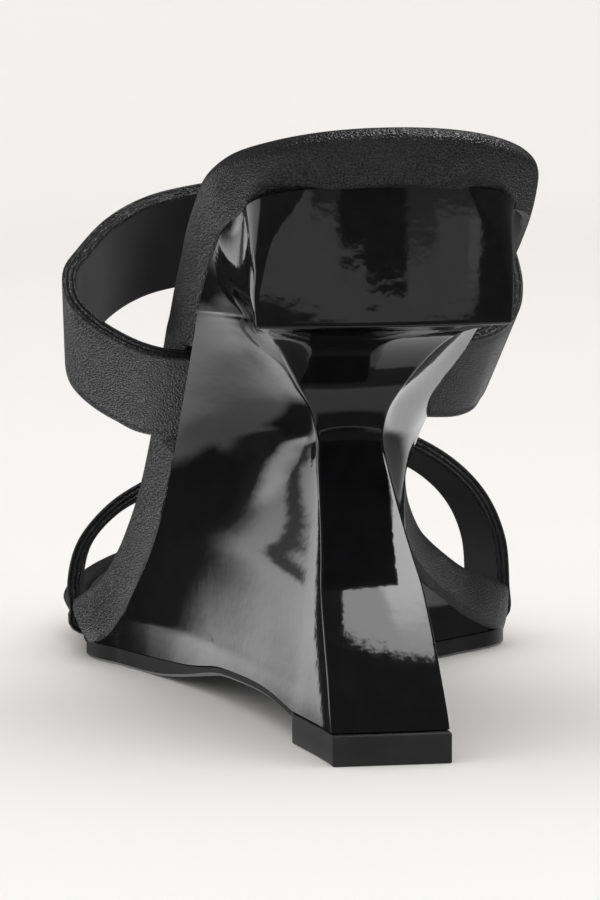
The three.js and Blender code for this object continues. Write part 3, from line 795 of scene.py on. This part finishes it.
def toeShape():
    y = toe["place"]
    sides = rimSides(y)
    rimAt = (sides[0] + swellAt(y, 1) - toe["out"][0], sides[1] - swellAt(y, 2) + toe["out"][1])
    seamAt = (rimAt[0] + bed["seamInset"][0], rimAt[1] - bed["seamInset"][1])
    beside = shoe["gap"] + strap["thickness"] / 2
    path = []
    for share, rise in toe["over"]:
        reach = -(rimAt[0] - beside) if share < 0 else rimAt[1] + beside
        path.append(Vector((share * reach, rise * toe["rise"])))

    def end(corner, edge, sign):
        return [
            Vector((corner - sign * strap["tuck"], beside)), Vector((corner, beside)),
            Vector((edge + sign * beside, beside * 2)),
        ]

    path = end(seamAt[0], rimAt[0], -1) + path + end(seamAt[1], rimAt[1], 1)[::-1]
    return dict(toe, path=path, anchor=(y, soleTop(y)), stand=0.0, endTilt=0.0)


toePiece = strapPiece("toe_strap_leather", toeShape())
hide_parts("toe_strap")
print("straps:", len(instepPiece.data.polygons), len(toePiece.data.polygons), "faces")


# Finishes
def newMaterial(name):
    material = bpy.data.materials.new(name)
    material.use_nodes = True
    nodes = material.node_tree.nodes
    nodes.clear()
    output = nodes.new("ShaderNodeOutputMaterial")
    shader = nodes.new("ShaderNodeBsdfPrincipled")
    material.node_tree.links.new(shader.outputs["BSDF"], output.inputs["Surface"])
    return material, nodes, material.node_tree.links, shader


def texture(nodes, links, kind, source, scale, **inputs):
    node = nodes.new(kind)
    links.new(source, node.inputs["Vector"])
    node.inputs["Scale"].default_value = scale
    for name, value in inputs.items():
        node.inputs[name.replace("_", " ")].default_value = value
    return node


def ramp(nodes, links, source, low, high, lowColor, highColor):
    node = nodes.new("ShaderNodeValToRGB")
    node.color_ramp.elements[0].position = low
    node.color_ramp.elements[0].color = (*lowColor, 1)
    node.color_ramp.elements[1].position = high
    node.color_ramp.elements[1].color = (*highColor, 1)
    links.new(source, node.inputs["Fac"])
    return node.outputs["Color"]


def mapRange(nodes, links, source, low, high):
    node = nodes.new("ShaderNodeMapRange")
    node.inputs["To Min"].default_value = low
    node.inputs["To Max"].default_value = high
    links.new(source, node.inputs["Value"])
    return node.outputs["Result"]


def bump(nodes, links, height, distance, strength, before=None):
    node = nodes.new("ShaderNodeBump")
    node.inputs["Distance"].default_value = distance
    node.inputs["Strength"].default_value = strength
    links.new(height, node.inputs["Height"])
    if before is not None:
        links.new(before, node.inputs["Normal"])
    return node.outputs["Normal"]


def leatherMaterial(name, look):
    material, nodes, links, shader = newMaterial(name)
    place = nodes.new("ShaderNodeTexCoord").outputs["Object"]
    grain = texture(nodes, links, "ShaderNodeTexVoronoi", place, look["grainScale"], Randomness=0.95)
    grain.feature = "DISTANCE_TO_EDGE"
    pores = texture(nodes, links, "ShaderNodeTexNoise", place, look["poreScale"], Detail=3.0, Roughness=0.6)
    wear = texture(nodes, links, "ShaderNodeTexNoise", place, look["patchScale"], Detail=4.0, Roughness=0.55)
    tone = ramp(nodes, links, wear.outputs["Fac"], 0.3, 0.72, look["dark"], look["light"])
    links.new(tone, shader.inputs["Base Color"])
    links.new(mapRange(nodes, links, wear.outputs["Fac"], *look["roughness"]), shader.inputs["Roughness"])
    normal = bump(nodes, links, grain.outputs["Distance"], look["grainDepth"], look["grainStrength"])
    normal = bump(nodes, links, pores.outputs["Fac"], look["poreDepth"], look["poreStrength"], normal)
    links.new(normal, shader.inputs["Normal"])
    shader.inputs["Specular IOR Level"].default_value = look["specular"]
    shader.inputs["Sheen Weight"].default_value = look["sheen"]
    shader.inputs["Sheen Roughness"].default_value = 0.4
    return material


nappa = leatherMaterial("black_nappa", {
    "dark": (0.006, 0.006, 0.0065), "light": (0.013, 0.013, 0.014), "roughness": (0.27, 0.4), "specular": 0.55,
    "sheen": 0.02, "grainScale": 1700.0, "grainDepth": 0.0006, "grainStrength": 0.55, "poreScale": 3600.0,
    "poreDepth": 0.0002, "poreStrength": 0.3, "patchScale": 60.0,
})
liningLeather = leatherMaterial("black_lining_leather", {
    "dark": (0.016, 0.016, 0.017), "light": (0.03, 0.03, 0.032), "roughness": (0.42, 0.58), "specular": 0.5,
    "sheen": 0.05, "grainScale": 2200.0, "grainDepth": 0.0002, "grainStrength": 0.2, "poreScale": 4000.0,
    "poreDepth": 0.0001, "poreStrength": 0.2, "patchScale": 45.0,
})
soleLeather = leatherMaterial("black_sole_leather", {
    "dark": (0.004, 0.004, 0.0045), "light": (0.009, 0.009, 0.01), "roughness": (0.4, 0.52), "specular": 0.35,
    "sheen": 0.0, "grainScale": 2600.0, "grainDepth": 0.0001, "grainStrength": 0.15, "poreScale": 3000.0,
    "poreDepth": 0.0001, "poreStrength": 0.2, "patchScale": 80.0,
})
hardRubber = leatherMaterial("black_hard_rubber", {
    "dark": (0.012, 0.012, 0.012), "light": (0.019, 0.019, 0.02), "roughness": (0.5, 0.66), "specular": 0.4,
    "sheen": 0.0, "grainScale": 900.0, "grainDepth": 0.0001, "grainStrength": 0.12, "poreScale": 5200.0,
    "poreDepth": 0.0002, "poreStrength": 0.3, "patchScale": 120.0,
})

lacquerLook = {  # ripple and orange peel: scale, depth, strength
    "base": (0.0035, 0.0035, 0.004), "roughness": (0.035, 0.07), "ripple": (95.0, 0.0012, 0.035),
    "orangePeel": (700.0, 0.0003, 0.03), "dustScale": 240.0, "runs": (1.0, 1.0, 2.2),
}


def lacquerMaterial(name, look):
    material, nodes, links, shader = newMaterial(name)
    place = nodes.new("ShaderNodeTexCoord").outputs["Object"]
    drawn = nodes.new("ShaderNodeMapping")
    drawn.inputs["Scale"].default_value = look["runs"]
    links.new(place, drawn.inputs["Vector"])
    dust = texture(nodes, links, "ShaderNodeTexNoise", place, look["dustScale"], Detail=4.0, Roughness=0.6)
    ripples = texture(nodes, links, "ShaderNodeTexNoise", drawn.outputs["Vector"], look["ripple"][0], Detail=2.0)
    peel = texture(nodes, links, "ShaderNodeTexNoise", place, look["orangePeel"][0], Detail=1.0)
    links.new(mapRange(nodes, links, dust.outputs["Fac"], *look["roughness"]), shader.inputs["Roughness"])
    links.new(
        ramp(nodes, links, dust.outputs["Fac"], 0.4, 0.8, look["base"], tuple(1.8 * v for v in look["base"])),
        shader.inputs["Base Color"],
    )
    normal = bump(nodes, links, ripples.outputs["Fac"], *look["ripple"][1:])
    normal = bump(nodes, links, peel.outputs["Fac"], *look["orangePeel"][1:], normal)
    links.new(normal, shader.inputs["Normal"])
    return material


lacquer = lacquerMaterial("black_lacquer", lacquerLook)

finishes = [
    (rim, "footbed", nappa, "rim_leather"), (sockPiece, "insole_sock", liningLeather, "sock_leather"),
    (wedgePiece, "wedge_heel", lacquer, "lacquer"), (solePiece, "outsole", soleLeather, "sole_leather"),
    (lift, "heel_lift", hardRubber, "lift_rubber"), (instepPiece, "instep_strap", nappa, "strap_leather"),
    (toePiece, "toe_strap", nappa, "strap_leather"),
]
for piece, node, material, slotName in finishes:
    piece.data.materials.append(material)
    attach(piece, "root")
    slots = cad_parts[node].material_slots
    if slots:
        slots[0].material = material
for piece in (instepPiece, toePiece):
    piece.data.materials.append(liningLeather)
print("finishes done")

# Studio: a pale floor running up into a backdrop, with soft light all round
studio = {
    "floor": (0.86, 0.852, 0.84),
    "halfWidth": 2.6,
    "run": (-2.4, 3.6),
    "grid": (20, 60),
    "backdropAt": 1.3,
    "sweep": 0.6,
    "world": ((1.0, 0.996, 0.988), 1.07),
    "key": {"place": (-0.25, 0.15, 1.3), "aim": (0.0, 0.05, 0.055), "size": 1.3, "power": 2.5},
}


def floorPoint(column, row):
    x = mix(-studio["halfWidth"], studio["halfWidth"], column / studio["grid"][0])
    s = mix(*studio["run"], row / studio["grid"][1])
    start, bend = studio["backdropAt"], studio["sweep"]
    quarter = bend * math.pi / 2
    if s <= start:
        return Vector((x, s, 0))
    if s <= start + quarter:
        turn = (s - start) / bend
        return Vector((x, start + bend * math.sin(turn), bend * (1 - math.cos(turn))))
    return Vector((x, start + bend, bend + s - start - quarter))


floor = gridPiece("studio_floor", *studio["grid"], floorPoint, closed=False)
floorMaterial, nodes, links, shader = newMaterial("pale_paper")
paperPlace = nodes.new("ShaderNodeTexCoord").outputs["Object"]
paperNoise = texture(nodes, links, "ShaderNodeTexNoise", paperPlace, 3.0, Detail=3.0)
darker = tuple(v * 0.985 for v in studio["floor"])
paperTone = ramp(nodes, links, paperNoise.outputs["Fac"], 0.3, 0.7, darker, studio["floor"])
links.new(paperTone, shader.inputs["Base Color"])
shader.inputs["Roughness"].default_value = 0.9
shader.inputs["Specular IOR Level"].default_value = 0.1
floor.data.materials.append(floorMaterial)
floor.visible_glossy = False


# What the gloss sees: a shell of bright cards, dark cards and floor, painted by direction in degrees
shell = {
    "middle": (-0.005, 0.03, 0.05),
    "radius": 0.32,
    "grid": (96, 48),
    "dark": 0.1,
    "jag": {"along": 0.12, "across": 1.3, "detail": 5.0, "roughness": 0.7, "reach": 2.0},
    # azimuth from the back to the inner side, elevation, half width, half height, slant, softness, raggedness
    # across and up, strength; later ones lie over earlier ones
    "cards": [
        (0, -58, 400, 36, 0, 8, 0, 0, 0.7),
        (30, -76, 75, 20, 0, 8, 0, 0, 0.14),
        (-143, -24, 26, 11, 0.2, 6, 0.2, 0.2, 0.04),
        (-128, 5.8, 36, 9, 0.4, 9, 0.2, 0.2, 1.4),
        (-125, 1, 9, 4, 0.4, 6, 0.3, 0.3, 2.6),
        (-138, -56, 28, 18, -0.6, 14, 0.4, 0.4, 1.8),
        (-169, -5, 11, 14, 0, 1.5, 1, 1, 0.03),
        (-142, 0.9, 10, 1.9, 0.42, 2.2, 0.2, 0.4, 0.22),
        (3, 4, 31.5, 4.2, 0, 1, 0.4, 0.1, 0.72),
        (-5, 7.1, 4, 1.6, 0, 0.7, 1.6, 0.2, 0.2),
        (7, 6.2, 9, 3.1, 0, 0.5, 1.7, 0.35, 0.06),
        (10, 5, 5.5, 3.1, 0, 0.5, 1.4, 0.25, 0.06),
        (19, 6.2, 4, 2.6, 0, 2, 1.8, 0.3, 0.3),
        (26, 7.2, 9, 1.8, 0, 1.2, 1, 0.3, 0.28),
        (43, 4, 8, 5, 0, 0.6, 0.5, 0.5, 0.07),
        (33, 3.2, 1.4, 1.5, 0, 1.2, 0.5, 0.3, 1.0),
        (148, -17, 13, 9, 0, 6, 0.3, 0.3, 1.1),
        (45, 66, 48, 16.5, -0.23, 0.7, 1.2, 2.0, 5.2),
        (62, 66, 26, 15, -0.23, 9, 1, 1, 8.5),
    ],
}


def shellPoint(column, row):
    columns, rows = shell["grid"]
    turn, rise = math.radians(column / columns * 360 - 180), math.radians(row / rows * 180 - 90)
    direction = Vector((math.sin(turn) * math.cos(rise), -math.cos(turn) * math.cos(rise), math.sin(rise)))
    return Vector(shell["middle"]) + direction * shell["radius"]


def shellMaterial():
    material = bpy.data.materials.new("gloss_cards")
    material.use_nodes = True
    nodes, links = material.node_tree.nodes, material.node_tree.links
    nodes.clear()

    def feed(node, index, value):
        if isinstance(value, (int, float)):
            node.inputs[index].default_value = value
        else:
            links.new(value, node.inputs[index])

    def calc(operation, *values):
        node = nodes.new("ShaderNodeMath")
        node.operation = operation
        for index, value in enumerate(values):
            feed(node, index, value)
        return node.outputs["Value"]

    jag = shell["jag"]

    def ragged(azimuth, elevation):
        spot = nodes.new("ShaderNodeCombineXYZ")
        feed(spot, 0, azimuth)
        feed(spot, 1, elevation)
        noise = texture(
            nodes, links, "ShaderNodeTexNoise", spot.outputs["Vector"], 1.0, Detail=jag["detail"],
            Roughness=jag["roughness"],
        )
        return calc("MULTIPLY_ADD", noise.outputs["Fac"], jag["reach"] * 2, -jag["reach"])

    def inside(distance, half, soft):
        fall = nodes.new("ShaderNodeMapRange")
        fall.interpolation_type = "SMOOTHSTEP"
        for index, value in enumerate((distance, half - soft / 2, half + soft / 2, 1.0, 0.0)):
            feed(fall, index, value)
        return fall.outputs["Result"]

    shift = nodes.new("ShaderNodeVectorMath")
    shift.operation = "SUBTRACT"
    shift.inputs[1].default_value = shell["middle"]
    links.new(nodes.new("ShaderNodeTexCoord").outputs["Object"], shift.inputs[0])
    split = nodes.new("ShaderNodeSeparateXYZ")
    links.new(shift.outputs["Vector"], split.inputs["Vector"])
    azimuth = calc("DEGREES", calc("ARCTAN2", split.outputs["X"], calc("MULTIPLY", split.outputs["Y"], -1.0)))
    elevation = calc("DEGREES", calc("ARCSINE", calc("DIVIDE", split.outputs["Z"], shell["radius"])))
    jagAcross = ragged(calc("MULTIPLY", azimuth, jag["along"]), calc("MULTIPLY", elevation, jag["across"]))
    jagUp = ragged(calc("MULTIPLY", azimuth, jag["across"]), calc("MULTIPLY", elevation, jag["along"]))
    glowNow = shell["dark"]
    for cardAzimuth, cardElevation, halfAcross, halfUp, slant, soft, jagSide, jagTop, strength in shell["cards"]:
        across = calc("SUBTRACT", azimuth, cardAzimuth)
        up = calc("MULTIPLY_ADD", across, -slant, calc("SUBTRACT", elevation, cardElevation))
        acrossMask = inside(calc("ABSOLUTE", calc("MULTIPLY_ADD", jagAcross, jagSide, across)), halfAcross, soft)
        upMask = inside(calc("ABSOLUTE", calc("MULTIPLY_ADD", jagUp, jagTop, up)), halfUp, soft)
        mask = calc("MULTIPLY", acrossMask, upMask)
        step = calc("SUBTRACT", strength, glowNow)
        glowNow = calc("MULTIPLY_ADD", step, mask, glowNow)
    glow = nodes.new("ShaderNodeEmission")
    links.new(glowNow, glow.inputs["Strength"])
    output = nodes.new("ShaderNodeOutputMaterial")
    links.new(glow.outputs["Emission"], output.inputs["Surface"])
    return material


shellPiece = gridPiece("gloss_shell", *shell["grid"], shellPoint, closed=False)
shellPiece.data.materials.append(shellMaterial())
shellPiece.visible_camera = False
shellPiece.visible_diffuse = False
shellPiece.visible_shadow = False
shellPiece.visible_transmission = False

world = bpy.data.worlds.new("studio_world")
world.use_nodes = True
world.node_tree.nodes["Background"].inputs["Color"].default_value = (*studio["world"][0], 1)
world.node_tree.nodes["Background"].inputs["Strength"].default_value = studio["world"][1]
world.cycles_visibility.glossy = False
scene.world = world

keyData = bpy.data.lights.new("key_light", "AREA")
keyData.size = studio["key"]["size"]
keyData.energy = studio["key"]["power"]
key = bpy.data.objects.new("key_light", keyData)
key.location = studio["key"]["place"]
key.rotation_euler = (Vector(studio["key"]["aim"]) - key.location).to_track_quat("-Z", "Y").to_euler()
key.visible_glossy = False
scene.collection.objects.link(key)

# Camera at the photograph's place, turned to the one shoe and closer in
view = {"place": (-0.1914, -0.9986, 0.163), "ahead": (0.225, 0.974), "pitch": 6.12, "turn": 2.9, "lens": 232.0}
cameraData = bpy.data.cameras.new("camera")
cameraData.lens = view["lens"]
cameraData.sensor_width = 36.0
cameraData.clip_end = 20.0
camera = bpy.data.objects.new("camera", cameraData)
pitch = math.radians(view["pitch"])
ahead = Vector((*view["ahead"], 0)).normalized() * math.cos(pitch) - Vector((0, 0, math.sin(pitch)))
facing = ahead.to_track_quat("-Z", "Y").to_matrix() @ Matrix.Rotation(math.radians(view["turn"]), 3, "Y")
camera.matrix_world = Matrix.Translation(view["place"]) @ facing.to_4x4()
scene.collection.objects.link(camera)
scene.camera = camera
scene.view_settings.view_transform = "Standard"
print("studio and camera done")
